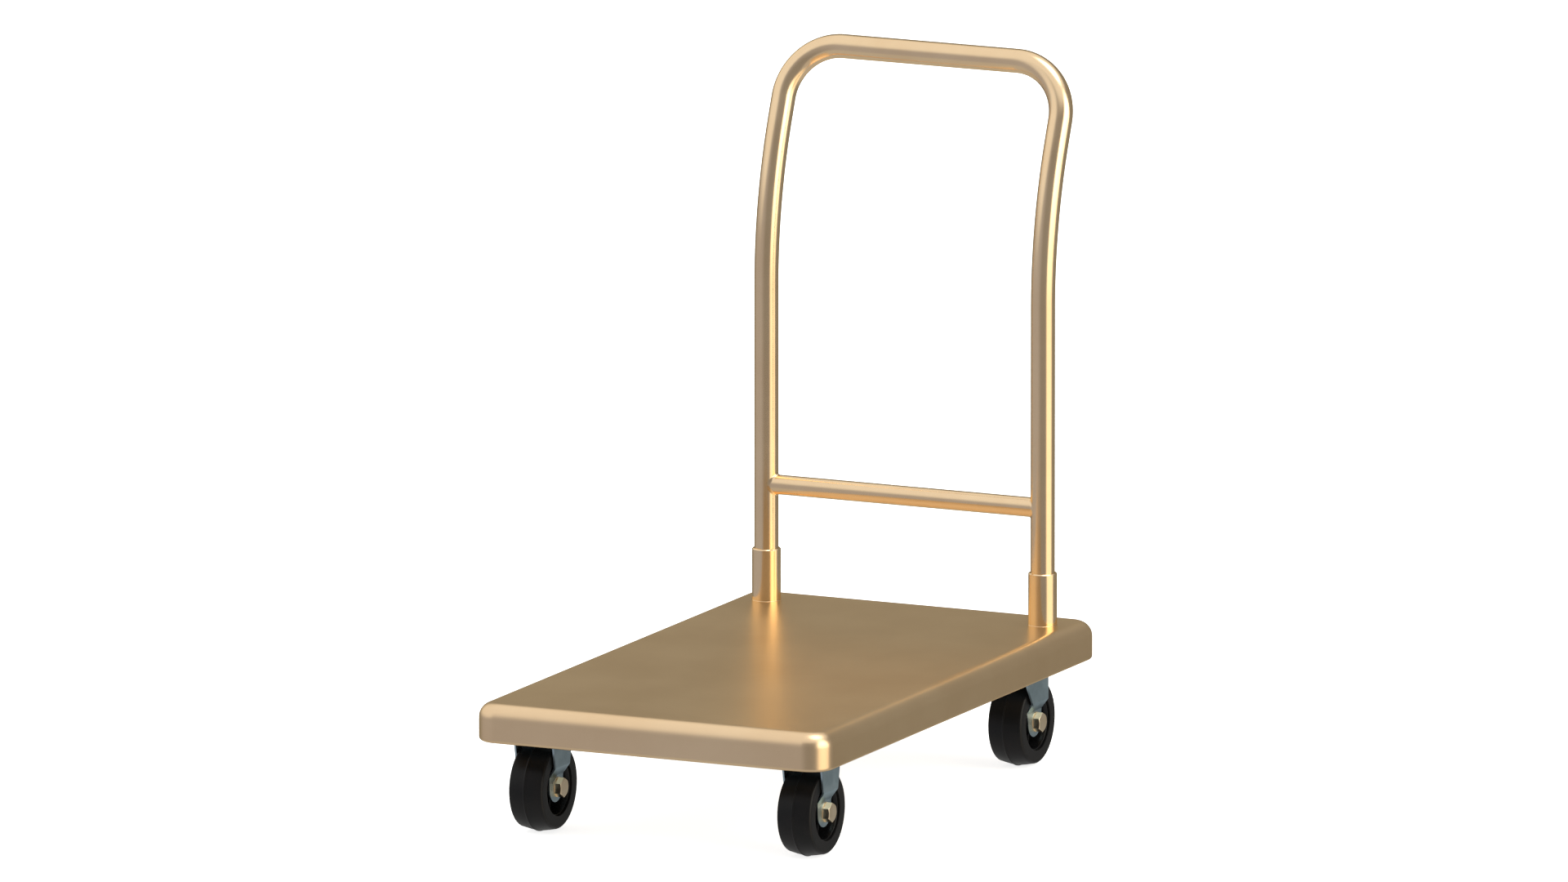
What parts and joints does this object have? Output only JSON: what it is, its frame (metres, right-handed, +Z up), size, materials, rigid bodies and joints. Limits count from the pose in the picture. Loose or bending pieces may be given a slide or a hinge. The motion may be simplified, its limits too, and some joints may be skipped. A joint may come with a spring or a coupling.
{
  "type": "hotel luggage cart",
  "caption": "Satin gold platform luggage cart: flat deck with rounded edges, bent push handle with a cross bar, rigid front casters and swivel casters at the handle end.",
  "frame": {"origin": "on the ground, under the middle of the cart's overall length and width", "axes": "+Z up; +Y towards the push handle, so the cart is pushed towards -Y; +X to the right of a person who faces the handle from the front end"},
  "size_m": [0.531, 0.9366, 0.9753],
  "materials": {
    "satin_gold": "satin champagne-gold metallic coat",
    "frame_steel": "galvanised grey",
    "zinc_plate": "bright blue-grey zinc plate",
    "yellow_zinc": "pale yellow zinc plate",
    "bearing_steel": "polished",
    "tyre_rubber": "satin black",
    "wheel_plastic": "matte black",
    "seal_rubber": "matte black"
  },
  "bodies": {
    "root": {"deck_pan": "satin_gold", "front_channel": "frame_steel", "rear_channel": "frame_steel", "left_stiffener": "frame_steel", "centre_stiffener": "frame_steel", "right_stiffener": "frame_steel", "left_backing_plate": "frame_steel", "right_backing_plate": "frame_steel", "left_socket": "satin_gold", "right_socket": "satin_gold", "handle_tube": "satin_gold", "cross_bar": "satin_gold", "tube_plugs": "zinc_plate", "handle_bolts": "zinc_plate", "handle_washers": "zinc_plate", "front_caster_bolts": "zinc_plate", "front_caster_nuts": "zinc_plate", "rear_caster_bolts": "zinc_plate", "rear_caster_nuts": "zinc_plate", "front_left_fork": "zinc_plate", "front_left_axle_bolt": "yellow_zinc", "front_left_axle_nut": "yellow_zinc", "front_left_axle_washers": "yellow_zinc", "front_left_bush": "bearing_steel", "rear_left_top_plate": "zinc_plate", "rear_left_kingpin": "zinc_plate", "rear_left_dust_seal": "seal_rubber", "rear_left_upper_balls": "bearing_steel", "rear_left_lower_balls": "bearing_steel", "rear_left_lower_race": "zinc_plate", "front_right_fork": "zinc_plate", "front_right_axle_bolt": "yellow_zinc", "front_right_axle_nut": "yellow_zinc", "front_right_axle_washers": "yellow_zinc", "front_right_bush": "bearing_steel", "rear_right_top_plate": "zinc_plate", "rear_right_kingpin": "zinc_plate", "rear_right_dust_seal": "seal_rubber", "rear_right_upper_balls": "bearing_steel", "rear_right_lower_balls": "bearing_steel", "rear_right_lower_race": "zinc_plate"},
    "front_left_wheel": {"front_left_tyre": "tyre_rubber", "front_left_wheel_core": "wheel_plastic"},
    "rear_left_swivel": {"rear_left_fork": "zinc_plate", "rear_left_axle_bolt": "yellow_zinc", "rear_left_axle_nut": "yellow_zinc", "rear_left_axle_washers": "yellow_zinc", "rear_left_bush": "bearing_steel"},
    "rear_left_wheel": {"rear_left_tyre": "tyre_rubber", "rear_left_wheel_core": "wheel_plastic"},
    "front_right_wheel": {"front_right_tyre": "tyre_rubber", "front_right_wheel_core": "wheel_plastic"},
    "rear_right_swivel": {"rear_right_fork": "zinc_plate", "rear_right_axle_bolt": "yellow_zinc", "rear_right_axle_nut": "yellow_zinc", "rear_right_axle_washers": "yellow_zinc", "rear_right_bush": "bearing_steel"},
    "rear_right_wheel": {"rear_right_tyre": "tyre_rubber", "rear_right_wheel_core": "wheel_plastic"}
  },
  "joints": [
    {"name": "front_left_wheel_spin", "type": "hinge", "parent": "root", "child": "front_left_wheel", "pos_m": [-0.2022, -0.37104, 0.0625], "axis": [1, 0, 0], "continuous": true},
    {"name": "rear_left_swivel_turn", "type": "hinge", "parent": "root", "child": "rear_left_swivel", "pos_m": [-0.2022, 0.28676, 0.15], "axis": [0, 0, 1], "continuous": true},
    {"name": "rear_left_wheel_spin", "type": "hinge", "parent": "rear_left_swivel", "child": "rear_left_wheel", "pos_m": [-0.2022, 0.31476, 0.0625], "axis": [1, 0, 0], "continuous": true},
    {"name": "front_right_wheel_spin", "type": "hinge", "parent": "root", "child": "front_right_wheel", "pos_m": [0.2022, -0.37104, 0.0625], "axis": [1, 0, 0], "continuous": true},
    {"name": "rear_right_swivel_turn", "type": "hinge", "parent": "root", "child": "rear_right_swivel", "pos_m": [0.2022, 0.28676, 0.15], "axis": [0, 0, 1], "continuous": true},
    {"name": "rear_right_wheel_spin", "type": "hinge", "parent": "rear_right_swivel", "child": "rear_right_wheel", "pos_m": [0.2022, 0.31476, 0.0625], "axis": [1, 0, 0], "continuous": true}
  ]
}
